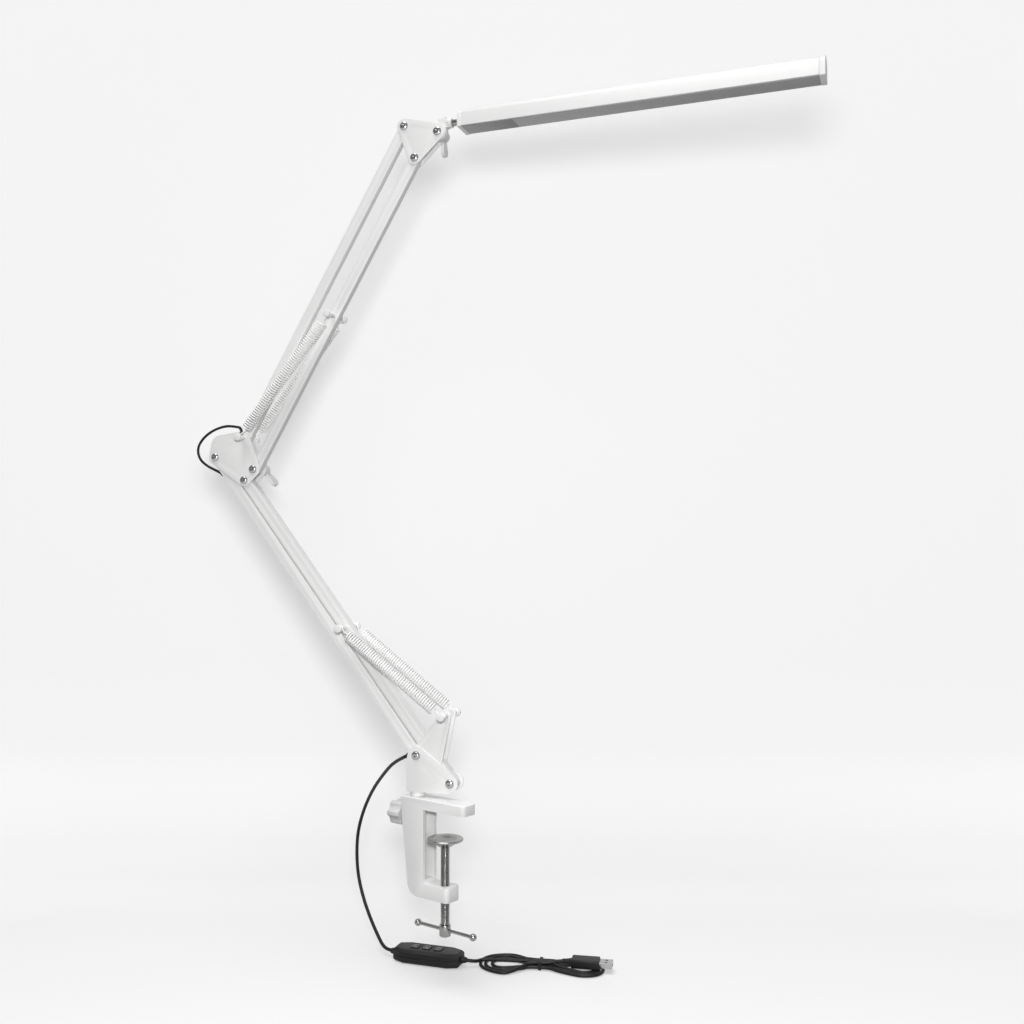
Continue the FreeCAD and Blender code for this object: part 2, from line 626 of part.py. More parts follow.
def save_controller():
    spot = Placement(Vector(*CONTROLLER_AT, FLOOR), Rotation(Vector(0, 0, 1), CONTROLLER_TURN)).toMatrix()
    length, _, height = CONTROLLER
    lower, upper = controller_case()
    reliefs = []
    for side in (-1, 1):
        foot = Vector(side * length / 2, 0, height / 2)
        reliefs.append(Part.makeCone(3.6, 2.2, 5.25, foot, Vector(side, 0, 0)))
    board = box((-26, -6.0, 4.2), (26, 6.0, 5.6))
    pieces = {"controller_bottom": [lower], "controller_top": [upper], "controller_reliefs": reliefs}
    pieces["controller_board"] = [board]
    for name, x in zip(("mode", "dim", "power"), BUTTONS):
        pieces["button_" + name] = [button(x)]
    for name, solids in pieces.items():
        save_arm(name, *[s.transformed(spot, copy=True) for s in solids])


def save_cords():
    save_arm("supply_cord", tube(SUPPLY_ROUTE, CORD, "supply_cord"))
    save_arm("link_cord", tube(LINK_ROUTE, CORD, "link_cord"))
    spot = Placement(Vector(*HANK_AT, FLOOR), Rotation(Vector(0, 0, 1), HANK_TURN)).toMatrix()
    left = flat_lobe(24.0, 24.0, 8.0)
    right = flat_lobe(98.0, 17.0, CORD)
    neck = box((HANK_TIE_X - 8.0, -6.0, 0.8), (HANK_TIE_X + 8.0, 6.0, 6.8))
    slot = box((HANK_TIE_X - 2.0, -20, -1), (HANK_TIE_X + 2.0, 20, 20)).cut(neck)
    save_hank("cord_hank", spot, left.fuse([right, neck]).cut(slot))
    strap = box((HANK_TIE_X - 1.5, -6.8, 0.0), (HANK_TIE_X + 1.5, 6.8, 7.6)).cut(neck)
    save_hank("hank_tie", spot, strap)
    size, shell = PLUG_BODY, PLUG_SHELL
    middle = CORD + size[2] / 2
    front = PLUG_START + size[0]
    body = box((PLUG_START, PLUG_Y - size[1] / 2, CORD), (front, PLUG_Y + size[1] / 2, CORD + size[2]))
    mouth = box((front, PLUG_Y - shell[1] / 2, middle - shell[2] / 2),
                (front + shell[0], PLUG_Y + shell[1] / 2, middle + shell[2] / 2))
    room = box((front, PLUG_Y - shell[1] / 2 + 0.3, middle - shell[2] / 2 + 0.3),
               (front + shell[0] + 1, PLUG_Y + shell[1] / 2 - 0.3, middle + shell[2] / 2 - 0.3))
    tongue = box((front, PLUG_Y - 5.5, middle), (front + shell[0] - 0.7, PLUG_Y + 5.5, middle + 1.9))
    rounded = body.makeFillet(1.5, [e for e in body.Edges if e.BoundBox.XLength > 5])
    save_hank("plug_body", spot, rounded)
    save_hank("plug_shell", spot, mouth.cut(room))
    save_hank("plug_tongue", spot, tongue)


def save_hank(name, spot, solid):
    save_arm(name, solid.transformed(spot, copy=True))


def flat_lobe(centre, radius, height):
    """One lobe of the tied hank: loops that fan out from the tie, as their outer shape."""
    ends = [((HANK_TIE_X, 0), 5.0), ((centre, 0), radius)]
    lobe = Part.Face(outline(ends)).extrude(Vector(0, -height, 0))
    lobe.rotate(Vector(0, 0, 0), Vector(1, 0, 0), -90)
    return lobe


os.makedirs("parts", exist_ok=True)
save_clamp()
save_base()
save_lower_arm()
save_elbow()
save_upper_arm()
save_head_fork()
save_head()
save_controller()
save_cords()
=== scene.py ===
import math

import bmesh
import bpy
from mathutils import Matrix, Vector


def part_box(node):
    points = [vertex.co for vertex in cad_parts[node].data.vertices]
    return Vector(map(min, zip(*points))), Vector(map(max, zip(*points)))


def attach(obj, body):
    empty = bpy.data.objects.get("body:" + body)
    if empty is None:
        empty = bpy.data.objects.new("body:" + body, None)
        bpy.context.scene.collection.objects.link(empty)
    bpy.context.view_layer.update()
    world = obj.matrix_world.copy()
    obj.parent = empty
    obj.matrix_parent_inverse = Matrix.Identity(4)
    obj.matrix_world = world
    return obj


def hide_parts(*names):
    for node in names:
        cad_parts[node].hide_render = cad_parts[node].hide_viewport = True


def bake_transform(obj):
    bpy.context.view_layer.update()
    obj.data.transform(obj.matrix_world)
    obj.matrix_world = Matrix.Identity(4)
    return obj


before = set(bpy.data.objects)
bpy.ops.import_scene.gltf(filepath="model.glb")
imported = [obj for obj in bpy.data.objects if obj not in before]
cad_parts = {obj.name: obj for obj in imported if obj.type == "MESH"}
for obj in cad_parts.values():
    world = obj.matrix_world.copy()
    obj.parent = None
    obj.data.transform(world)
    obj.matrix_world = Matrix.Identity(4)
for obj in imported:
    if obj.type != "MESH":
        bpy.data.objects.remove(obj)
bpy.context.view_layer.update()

# The arm stands on its post, turned away from the clamp's jaw. arm() takes a place in the arm's
# own plane (along it, across it, up) to the frame's axes; everything here is in metres.
POST = Vector((-0.0322, 0.0, 0.0))
ARM_TURN = Matrix.Rotation(math.radians(17.3), 4, "Z")
ARM = Matrix.Translation(POST) @ ARM_TURN
ACROSS = ARM_TURN @ Vector((0, 1, 0))


def arm(x, y, z):
    return ARM @ Vector((x, y, z))


# ---- Camera and studio -------------------------------------------------------------------------
# Eye level is a little above the clamp, some 0.9 m off, looking at the front of the arms.
# The studio is pale matt paper, with soft daylight and one lamp near the camera.
CAMERA_TURN = math.radians(37.37)
FACING = Matrix.Rotation(CAMERA_TURN, 4, "Z")


def placed(name, data):
    """An object that shows its data in the scene."""
    thing = bpy.data.objects.new(name, data)
    bpy.context.scene.collection.objects.link(thing)
    return thing


camera_data = bpy.data.cameras.new("camera")
camera_data.lens = 38.67
camera_data.sensor_width = 36.0
camera_data.clip_start = 0.01
camera = placed("camera", camera_data)
camera.location = (0.6383, -0.7391, 0.2325)
camera.rotation_euler = (math.radians(91.8), 0.0, CAMERA_TURN)
bpy.context.scene.camera = camera
bpy.context.scene.view_settings.view_transform = "Standard"

FLOOR_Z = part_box("controller_bottom")[0].z


def ranged(nodes, links, source, low, high, at_low, at_high):
    """A value that runs evenly from at_low to at_high as its source runs from low to high."""
    fade = nodes.new("ShaderNodeMapRange")
    fade.inputs["From Min"].default_value = low
    fade.inputs["From Max"].default_value = high
    fade.inputs["To Min"].default_value = at_low
    fade.inputs["To Max"].default_value = at_high
    links.new(source, fade.inputs["Value"])
    return fade.outputs["Result"]


PAPER_FADE = 0.25


def studio_paper():
    """Matt paper, lit through a little. The floor is duller than the wall, so both look alike."""
    paper = bpy.data.materials.new("studio_paper")
    paper.use_nodes = True
    nodes, links = paper.node_tree.nodes, paper.node_tree.links
    shader = nodes["Principled BSDF"]
    shader.inputs["Roughness"].default_value = 0.9
    shader.inputs["Specular IOR Level"].default_value = 0.1
    shader.inputs["Emission Color"].default_value = (1.0, 1.0, 1.0, 1)
    place = nodes.new("ShaderNodeTexCoord")
    split = nodes.new("ShaderNodeSeparateXYZ")
    links.new(place.outputs["Object"], split.inputs["Vector"])
    away = nodes.new("ShaderNodeVectorMath")
    away.operation = "DISTANCE"
    away.inputs[1].default_value = camera.location
    links.new(place.outputs["Object"], away.inputs[0])
    height, distance = split.outputs["Z"], away.outputs["Value"]
    tone = ranged(nodes, links, height, FLOOR_Z, FLOOR_Z + PAPER_FADE, 0.50, 0.80)
    links.new(tone, shader.inputs["Base Color"])
    glow = nodes.new("ShaderNodeMath")
    glow.operation = "ADD"
    evened = nodes.new("ShaderNodeValToRGB")
    stops = ((0.0, 0.325), (0.09, 0.245), (0.2, 0.23), (0.34, 0.265), (0.5, 0.305), (0.63, 0.332),
             (0.82, 0.288), (1.0, 0.237))
    for stop in stops[1:-1]:
        evened.color_ramp.elements.new(stop[0])
    for element, stop in zip(evened.color_ramp.elements, stops):
        element.position = stop[0]
        element.color = (stop[1], stop[1], stop[1], 1)
    climb = ranged(nodes, links, height, FLOOR_Z, FLOOR_Z + PAPER_FADE, 0.0, 1.0)
    links.new(climb, evened.inputs["Fac"])
    links.new(evened.outputs["Color"], glow.inputs[0])
    links.new(ranged(nodes, links, distance, 1.32, 1.58, 0.0, 0.11), glow.inputs[1])
    links.new(glow.outputs["Value"], shader.inputs["Emission Strength"])
    # The back of the paper is clear, so the wall never stands between an eye and the lamp.
    side, clear, one_way = (nodes.new("ShaderNode" + kind)
                            for kind in ("NewGeometry", "BsdfTransparent", "MixShader"))
    links.new(side.outputs["Backfacing"], one_way.inputs["Fac"])
    links.new(shader.outputs["BSDF"], one_way.inputs[1])
    links.new(clear.outputs["BSDF"], one_way.inputs[2])
    links.new(one_way.outputs["Shader"], nodes["Material Output"].inputs["Surface"])
    return paper


def studio():
    """A pale floor that curves up into a pale wall behind the lamp, and runs on beyond the wall."""
    eye = Vector((camera.location.x, camera.location.y, FLOOR_Z - 0.0003))
    wall, radius, width, height = 1.32, 0.16, 3.5, 2.6
    profile = [(-3.0, 0.0), (wall - radius, 0.0)]
    profile += [
        (wall - radius + radius * math.sin(t), radius - radius * math.cos(t))
        for t in [math.pi / 2 * i / 16 for i in range(1, 17)]
    ]
    profile += [(wall, height), (wall - radius, 0.0), (wall + 3.5, 0.0)]
    mesh = bpy.data.meshes.new("studio_sweep")
    sides = [[eye + FACING @ Vector((s * width, y, z)) for y, z in profile] for s in (-1, 1)]
    count = len(profile)
    faces = [(i, i + count, i + count + 1, i + 1) for i in range(count - 1) if i != count - 3]
    mesh.from_pydata(sides[0] + sides[1], [], faces)
    mesh.shade_smooth()
    sweep = placed("studio_sweep", mesh)
    sweep.visible_diffuse = False
    sweep.visible_shadow = False
    mesh.materials.append(studio_paper())


def daylight(name, towards, strength, softness):
    """Even light from a far, wide source. towards is its way: right, ahead and up of the camera."""
    data = bpy.data.lights.new(name, "SUN")
    data.energy = strength
    data.angle = math.radians(softness)
    light = placed(name, data)
    light.rotation_euler = (FACING @ Vector(towards)).to_track_quat("-Z", "Y").to_euler()


def soft_room():
    """Pale light from all round: brightest overhead, duller towards the floor."""
    world = bpy.data.worlds.new("soft_room")
    world.use_nodes = True
    nodes, links = world.node_tree.nodes, world.node_tree.links
    place = nodes.new("ShaderNodeTexCoord")
    split = nodes.new("ShaderNodeSeparateXYZ")
    links.new(place.outputs["Generated"], split.inputs["Vector"])
    brightness = ranged(nodes, links, split.outputs["Z"], -0.25, 0.9, 0.11, 0.40)
    links.new(brightness, nodes["Background"].inputs["Strength"])
    nodes["Background"].inputs["Color"].default_value = (1.0, 1.0, 1.0, 1)
    bpy.context.scene.world = world


studio()
soft_room()
daylight("front_fill", (-0.1, 1.0, -0.15), 0.4, 40.0)
daylight("top_light", (0.15, 0.25, -1.0), 1.8, 40.0)
daylight("back_fill", (0.1, -1.0, -0.05), 1.3, 40.0)

# A lamp just above the camera throws the soft shadow that hugs the arms on the wall behind them.
near_data = bpy.data.lights.new("camera_lamp", "POINT")
near_data.energy = 25.0
near_data.shadow_soft_size = 0.065
placed("camera_lamp", near_data).location = camera.location + Vector((0, 0, 0.12))


# ---- Cords -------------------------------------------------------------------------------------
# A thin black USB cord hangs from the base to its controller, then runs on into a tied hank.
# Its sheath is extruded soft plastic, dull black, with a faint grain from the die.
CORD, CABLE = 0.0032, 0.0025
CORD_SIDES = 14
NOISE_SPAN = (0.3, 0.7)
MOTTLES_PER_METRE = 45.0


def grained(name, colour, roughness, grain, bump, mottle=0.06, metal=0.0, shine=0.5):
    """A surface with fine grain, slightly uneven colour and uneven gloss. grain is in metres."""
    material = bpy.data.materials.new(name)
    material.use_nodes = True
    nodes, links = material.node_tree.nodes, material.node_tree.links
    shader = nodes["Principled BSDF"]
    shader.inputs["Metallic"].default_value = metal
    shader.inputs["Specular IOR Level"].default_value = shine
    place = nodes.new("ShaderNodeTexCoord")
    fine = nodes.new("ShaderNodeTexNoise")
    fine.inputs["Scale"].default_value = 1.0 / grain
    fine.inputs["Detail"].default_value = 4.0
    broad = nodes.new("ShaderNodeTexNoise")
    broad.inputs["Scale"].default_value = MOTTLES_PER_METRE
    broad.inputs["Detail"].default_value = 6.0
    for noise in (fine, broad):
        links.new(place.outputs["Object"], noise.inputs["Vector"])
    tint = nodes.new("ShaderNodeValToRGB")
    duller = [c * (1 - mottle) for c in colour]
    for element, position, shade in zip(tint.color_ramp.elements, NOISE_SPAN, (duller, colour)):
        element.position = position
        element.color = (*shade, 1)
    links.new(broad.outputs["Fac"], tint.inputs["Fac"])
    links.new(tint.outputs["Color"], shader.inputs["Base Color"])
    smooth, rough = roughness * 0.85, roughness * 1.2
    gloss = ranged(nodes, links, fine.outputs["Fac"], *NOISE_SPAN, smooth, rough)
    links.new(gloss, shader.inputs["Roughness"])
    relief = nodes.new("ShaderNodeBump")
    relief.inputs["Strength"].default_value = bump
    relief.inputs["Distance"].default_value = grain * 0.25
    links.new(fine.outputs["Fac"], relief.inputs["Height"])
    links.new(relief.outputs["Normal"], shader.inputs["Normal"])
    return material


sheath = grained("cord_sheath", (0.010, 0.010, 0.011), 0.42, 0.0006, 0.25, 0.3, shine=0.25)


def smooth_run(route):
    """The points of one smooth curve through the air and along the surface."""
    curve = bpy.data.curves.new("smooth_run", "CURVE")
    curve.dimensions = "3D"
    curve.resolution_u = 8
    spline = curve.splines.new("NURBS")
    spline.points.add(len(route) - 1)
    for point, place in zip(spline.points, route):
        point.co = (*place, 1)
    spline.order_u = 3
    spline.use_endpoint_u = True
    line = placed("smooth_run", curve)
    mesh = bpy.data.meshes.new_from_object(line)
    points = [v.co.copy() for v in mesh.vertices]
    bpy.data.objects.remove(line)
    bpy.data.meshes.remove(mesh)
    return points


def skinned(name, verts, sides, material):
    """A closed skin over rings of points, each ring of so many sides."""
    last, faces = len(verts) - sides, []
    for row in range(0, last, sides):
        for k in range(sides):
            n = (k + 1) % sides
            faces.append((row + k, row + n, row + sides + n, row + sides + k))
    faces.append(tuple(reversed(range(sides))))
    faces.append(tuple(range(last, len(verts))))
    mesh = bpy.data.meshes.new(name)
    mesh.from_pydata(verts, [], faces)
    mesh.shade_smooth()
    mesh.materials.append(material)
    return placed(name, mesh)


def tube_along(name, points, radius, sides, material):
    """A mesh tube of even thickness that follows a line of points."""
    ahead = (points[1] - points[0]).normalized()
    side = ahead.orthogonal().normalized()
    verts = []
    for i, point in enumerate(points):
        new = (points[min(i + 1, len(points) - 1)] - points[max(i - 1, 0)]).normalized()
        side = (ahead.rotation_difference(new) @ side).normalized()
        ahead = new
        up = ahead.cross(side)
        for k in range(sides):
            a = 2 * math.pi * k / sides
            verts.append(point + radius * (math.cos(a) * side + math.sin(a) * up))
    return skinned(name, verts, sides, material)


supply_route = [
    (-0.0110, 0.0000, 0.0440),
    (-0.0275, 0.0090, 0.0365),
    (-0.0455, 0.0240, 0.0220),
    (-0.0665, 0.0420, 0.0020),
    (-0.0830, 0.0550, -0.0210),
    (-0.0932, 0.0620, -0.0444),
    (-0.0968, 0.0660, -0.0671),
    (-0.0951, 0.0660, -0.0893),
    (-0.0884, 0.0640, -0.1095),
    (-0.0785, 0.0600, -0.1270),
    (-0.0680, 0.0555, -0.1410),
    (-0.0590, 0.0505, -0.1496),
    (-0.0499, 0.0478, -0.1505),
]
# It runs straight through the controller's case, from one strain relief to the other.
controller_route = [(-0.0430, 0.0480, -0.1505), (0.0205, 0.0494, -0.1505)]

# The hank lies on the surface to the right of the controller. Its loops fan out on both sides of
# the tie: three turns wound outwards, then the last strand crosses over to the plug.
HANK = (ARM @ Matrix.Translation((0.0345, 0.0623, FLOOR_Z))
        @ Matrix.Rotation(math.radians(9.4), 4, "Z"))
TIE_X = 0.058
LOW_ROW, HIGH_ROW, ON_FLOOR = 0.0024, 0.0057, 0.0017
LEFT_LOOPS = (0.0115, 0.0175, 0.0222)
RIGHT_LOOPS = (0.0092, 0.0130, 0.0168)


def lobe(side, radius, leave, back):
    """One loop on one side of the tie. leave and back are its (across, height) at the tie."""
    reach, middle, spread = (0.0245, 0.015, 12) if side < 0 else (0.0985, 0.016, 12)
    turn = 1 if leave[0] * side < back[0] * side else -1
    start = math.copysign(math.radians(105), leave[0] or -turn * side)

    def fanned(end, way):
        """The point between the tie and the loop where a strand has come halfway down."""
        across = (end[0] + math.copysign(radius * 0.45, way)) * 0.75
        return TIE_X + side * middle, across, (end[1] + ON_FLOOR) / 2

    points = [(TIE_X + side * 0.004, *leave), (TIE_X + side * 0.011, leave[0] * 1.25, leave[1])]
    points.append(fanned(leave, start))
    for i in range(spread):
        a = start - math.copysign(math.radians(210) * i / (spread - 1), start)
        flare = 1 + 0.05 * math.sin(3 * a + radius * 900)
        x = reach + side * radius * math.cos(a) * 1.05
        points.append((x, radius * math.sin(a) * flare, ON_FLOOR))
    points.append(fanned(back, -start))
    points.append((TIE_X + side * 0.011, back[0] * 1.25, back[1]))
    return points


IN = (0.0, HIGH_ROW)
NEAR, REAR = (-0.0016, LOW_ROW), (0.0016, LOW_ROW)
FRONT_OUT, REAR_OUT = (-0.0048, LOW_ROW), (0.0048, LOW_ROW)
FRONT_TOP, REAR_TOP = (-0.0034, HIGH_ROW), (0.0034, HIGH_ROW)
hank_route = [
    (0.0030, -0.0026, 0.0049),
    (0.0180, -0.0022, 0.0052),
    (0.0360, -0.0010, 0.0054),
    (0.0500, 0.0000, HIGH_ROW),
]
hank_route += lobe(1, RIGHT_LOOPS[0], IN, REAR)
hank_route += lobe(-1, LEFT_LOOPS[0], REAR, NEAR)
hank_route += lobe(1, RIGHT_LOOPS[1], NEAR, REAR_OUT)
hank_route += lobe(-1, LEFT_LOOPS[1], REAR_OUT, FRONT_OUT)
hank_route += lobe(1, RIGHT_LOOPS[2], FRONT_OUT, REAR_TOP)
hank_route += lobe(-1, LEFT_LOOPS[2], REAR_TOP, FRONT_TOP)
hank_route += [
    (0.0620, -0.0030, HIGH_ROW),
    (0.0680, -0.0018, 0.0062),
    (0.0745, 0.0008, 0.0070),
    (0.0790, 0.0015, 0.0072),
]
link_route = [
    (0.0271, 0.0496, -0.1505),
    (0.0316, 0.0509, -0.1511),
    (0.0358, 0.0544, -0.1519),
]
usb_points = smooth_run([arm(*p) for p in supply_route + controller_route + link_route]
                        + [HANK @ Vector(p) for p in hank_route])
usb_cord = tube_along("usb_flex", usb_points, CORD / 2, CORD_SIDES, sheath)
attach(usb_cord, "base")
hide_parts("supply_cord", "link_cord", "cord_hank")


# A thinner cable loops out of the elbow plate and back into the lower bar, with some slack.
cable_route = [
    (-0.1855, -0.0088, 0.3466),
    (-0.1960, -0.0082, 0.3486),
    (-0.2075, -0.0065, 0.3476),
    (-0.2195, -0.0045, 0.3442),
    (-0.2305, -0.0025, 0.3380),
    (-0.2380, -0.0010, 0.3290),
    (-0.2365, 0.0000, 0.3185),
    (-0.2280, 0.0000, 0.3115),
    (-0.2180, 0.0000, 0.3070),
    (-0.2100, 0.0000, 0.3032),
]
cable_points = smooth_run([arm(*p) for p in cable_route])
elbow_cable = tube_along("elbow_flex", cable_points, CABLE / 2, CORD_SIDES, sheath)
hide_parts("elbow_cable")
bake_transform(elbow_cable)


# ---- Clamp -------------------------------------------------------------------------------------
# The clamp frame is cast, then powder coated white: a soft satin skin with a faint orange peel
# and edges rounded by the coating. The bolted-on pieces around it are coated in the same batch.
enamel = grained("white_enamel", (0.80, 0.80, 0.795), 0.36, 0.0011, 0.10, 0.03)


def coated(node, body, material, edge=0.0005, steps=3):
    """The CAD piece with its coplanar facets joined and its sharp edges rounded off."""
    shape = bmesh.new()
    shape.from_mesh(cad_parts[node].data)
    bmesh.ops.remove_doubles(shape, verts=shape.verts, dist=1e-6)
    bmesh.ops.dissolve_limit(
        shape, angle_limit=math.radians(1.0), verts=shape.verts, edges=shape.edges)
    mesh = bpy.data.meshes.new(node + "_coated")
    shape.to_mesh(mesh)
    shape.free()
    mesh.materials.clear()
    mesh.materials.append(material)
    mesh.shade_smooth()
    piece = placed(node + "_coated", mesh)
    rounding = piece.modifiers.new("rounding", "BEVEL")
    rounding.width = edge
    rounding.segments = steps
    rounding.limit_method = "ANGLE"
    rounding.angle_limit = math.radians(32)
    rounding.use_clamp_overlap = True
    rounding.harden_normals = True
    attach(piece, body)
    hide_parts(node)
    return piece


coated("clamp_frame", "clamp", enamel, 0.0006)

# The clamp screw is plated M8 steel with a rolled thread, a cross-drilled end, and a dished pad
# that turns on its top. The tommy bar slides through the end, held in by a ball on each tip.
steel = grained("plated_steel", (0.36, 0.355, 0.35), 0.24, 0.0009, 0.2, 0.3, 1.0)


def turned(name, profile, origin, axis, material, sides=48, hexagon=()):
    """A lathe-turned piece. profile is (radius, height) pairs; heights run along axis from origin.
    Rows listed in hexagon take a six-sided section instead of a round one."""
    axis = Vector(axis).normalized()
    side = axis.orthogonal().normalized()
    up = axis.cross(side)
    verts = []
    for row, (radius, height) in enumerate(profile):
        for k in range(sides):
            a = 2 * math.pi * k / sides
            flat = math.cos(math.pi / 6) / math.cos((a % (math.pi / 3)) - math.pi / 6)
            r = radius * flat if row in hexagon else radius
            around = math.cos(a) * side + math.sin(a) * up
            verts.append(Vector(origin) + axis * height + r * around)
    piece = skinned(name, verts, sides, material)
    piece.data.set_sharp_from_angle(angle=math.radians(38))
    return piece


def joined(name, pieces):
    """Several meshes as one piece."""
    shape = bmesh.new()
    for piece in pieces:
        shape.from_mesh(piece.data)
    mesh = bpy.data.meshes.new(name)
    shape.to_mesh(mesh)
    shape.free()
    mesh.materials.append(pieces[0].data.materials[0])
    for piece in pieces:
        bpy.data.objects.remove(piece)
    return placed(name, mesh)


def fitted(piece, body, slot, *nodes):
    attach(piece, body)
    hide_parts(*nodes)
    return piece


screw_low, screw_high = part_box("clamp_screw")
THREAD_PITCH, THREAD_DEPTH, THREAD_ROOT = 0.00125, 0.0007, 0.0033
END_HEIGHT = 0.0105


def threaded_rod():
    """The screw's thread: one ridge that winds up the rod."""
    sides, rows_per_turn = 32, 8
    low, high = screw_low.z + END_HEIGHT, screw_high.z
    rows = round((high - low) / THREAD_PITCH * rows_per_turn)
    verts = []
    for row in range(rows + 1):
        z = low + (high - low) * row / rows
        ends = min(1.0, (high - z) / 0.0015, (z - low) / 0.0005)
        for k in range(sides):
            a = 2 * math.pi * k / sides
            phase = (z / THREAD_PITCH - k / sides) % 1.0
            ridge = max(0.0, 1.0 - abs(phase - 0.5) * 2.3)
            r = THREAD_ROOT + THREAD_DEPTH * min(1.0, ridge * 1.25) * ends
            verts.append((r * math.cos(a), r * math.sin(a), z))
    return skinned("thread", verts, sides, steel)


screw_end = turned(
    "screw_end",
    [(0.0041, 0), (0.0047, 0.0003), (0.0050, 0.0009), (0.0050, END_HEIGHT - 0.0009),
     (0.0047, END_HEIGHT - 0.0003), (0.0034, END_HEIGHT)],
    (0, 0, screw_low.z), (0, 0, 1), steel)
fitted(joined("screw_turned", [threaded_rod(), screw_end]), "screw", "grey_steel", "clamp_screw")

pad_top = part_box("pressure_pad")[1].z
pad = turned(
    "pad_turned",
    [(0.0046, -0.0072), (0.0056, -0.0071), (0.0066, -0.0066), (0.0100, -0.0042), (0.0130, -0.0026),
     (0.0154, -0.0022), (0.0160, -0.0016), (0.0160, -0.0006), (0.0155, 0.0), (0.0108, 0.0),
     (0.0104, -0.0002), (0.0080, -0.0019), (0.0054, -0.0031), (0.0020, -0.0032)],
    (0, 0, pad_top), (0, 0, 1), steel, 64)
fitted(pad, "pad", "grey_steel", "pressure_pad")

bar_low, bar_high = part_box("tommy_bar")
bar_z = (bar_low.z + bar_high.z) / 2
half_bar = bar_high.x
BALL, ROD = 0.0032, 0.0015
one_end = [
    (BALL * math.sin(math.radians(t)), BALL - BALL * math.cos(math.radians(t)))
    for t in range(4, 150, 8)
]
one_end.append((ROD, 2 * BALL - 0.0003))
bar_profile = one_end + [(r, 2 * half_bar - h) for r, h in reversed(one_end)]
tommy = turned("tommy_turned", bar_profile, (-half_bar, 0, bar_z), (1, 0, 0), steel, 32)
fitted(tommy, "handle", "grey_steel", "tommy_bar")

# The lock knob is moulded on a steel screw that holds the post. Its six flutes are for fingers.
knob_plastic = grained("moulded_grey_white", (0.62, 0.62, 0.62), 0.4, 0.0008, 0.15, 0.05)
coated("lock_knob", "lock", knob_plastic, 0.0009, 4)
bright = grained("bright_plate", (0.45, 0.45, 0.455), 0.2, 0.0014, 0.08, 0.12, 1.0)
coated("lock_screw", "lock", bright, 0.0002, 2)

# ---- Base bracket ------------------------------------------------------------------------------
# Two pressed steel cheeks on a web carry both lower bars. A pair of ears inside them holds the
# studs for the lower springs, and the collar and post turn in the clamp.
for node, edge in (("base_bracket", 0.0003), ("spring_ears", 0.00025), ("base_post", 0.0005)):
    coated(node, "base", enamel, edge)

LOWER_ANGLE, UPPER_ANGLE = math.radians(128.25), math.radians(59.1)


def beyond(point, length, angle):
    return (point[0] + length * math.cos(angle), point[1] + length * math.sin(angle))


LOWER_ARM, UPPER_ARM = 0.347, 0.327
A0, B0 = (0.0010, 0.0463), (0.0338, 0.0234)
A1, B1 = beyond(A0, LOWER_ARM, LOWER_ANGLE), beyond(B0, LOWER_ARM, LOWER_ANGLE)
D0 = (A1[0] + 0.0425, A1[1] - 0.0125)
C0 = (D0[0] - 0.0106, D0[1] + 0.0303)
C1, D1 = beyond(C0, UPPER_ARM, UPPER_ANGLE), beyond(D0, UPPER_ARM, UPPER_ANGLE)
TILT = (D1[0] + 0.0226, D1[1] + 0.0213)
EAR_TIP = (0.0298, 0.0828)
LOWER_PIN, UPPER_PIN = beyond(B0, 0.171, LOWER_ANGLE), beyond(D0, 0.165, UPPER_ANGLE)

# Button-head bolts in bright plate, each with a six-sided socket, and domed nuts behind.
BOLT, HEAD, HEAD_RISE = 0.0020, 0.0040, 0.0023
SOCKET_FLOOR = -HEAD_RISE + 0.0013


def bolts(name, body, node, places):
    """places are (point in the arm's plane, depth of the head's seat, depth of the shank's end)."""
    made = []
    for point, seat, far in places:
        dome = [(0.0011, SOCKET_FLOOR), (0.00125, SOCKET_FLOOR), (0.0013, -HEAD_RISE + 0.00005)]
        dome += [
            (0.0014 + 0.0026 * math.sin(a), -0.0004 - 0.0019 * math.cos(a))
            for a in map(math.radians, range(0, 91, 10))
        ]
        dome += [(HEAD, -0.0001), (BOLT, 0.0), (BOLT, far + seat), (BOLT - 0.0004, far + seat)]
        start = arm(point[0], -seat, point[1])
        made.append(turned(name, dome, start, ACROSS, bright, 48, (0, 1, 2)))
    fitted(joined(name, made), body, "bright_steel", node)


def dome_nuts(name, body, node, seat, points):
    made = []
    for point in points:
        shape = [(0.0022, 0.0), (0.0040, 0.0), (0.0043, 0.0003), (0.0043, 0.0019), (0.0040, 0.0022)]
        shape += [
            (0.0033 * math.cos(math.radians(t)), 0.0022 + 0.0016 * math.sin(math.radians(t)))
            for t in range(10, 86, 15)
        ]
        start = arm(point[0], seat, point[1])
        made.append(turned(name, shape, start, ACROSS, bright, 48, (1, 2, 3, 4)))
    fitted(joined(name, made), body, "bright_steel", node)


bolts("base_bolts_turned", "base", "base_bolts", [(p, 0.0073, 0.0095) for p in (A0, B0)])
dome_nuts("base_nuts_turned", "base", "base_nuts", 0.0073, (A0, B0))

# Spring pins end in white caps that keep the springs' eyes on.
nylon = grained("white_nylon", (0.78, 0.78, 0.775), 0.38, 0.0007, 0.1, 0.03)


def capped_pins(name, body, node, point, eye_depth, inner=0.0):
    """A pin right through the arm, or with inner two studs that start there, with domed caps."""
    made = []
    tip = eye_depth + 0.0024
    for side in (-1, 1):
        shape = [(BOLT, inner), (BOLT, tip), (0.0034, tip), (0.0038, tip + 0.0004),
                 (0.0038, tip + 0.0017), (0.0034, tip + 0.0023), (0.0022, tip + 0.0026)]
        made.append(turned(name, shape, arm(point[0], 0, point[1]), ACROSS * side, nylon, 40))
    fitted(joined(name, made), body, "spring_white", node)


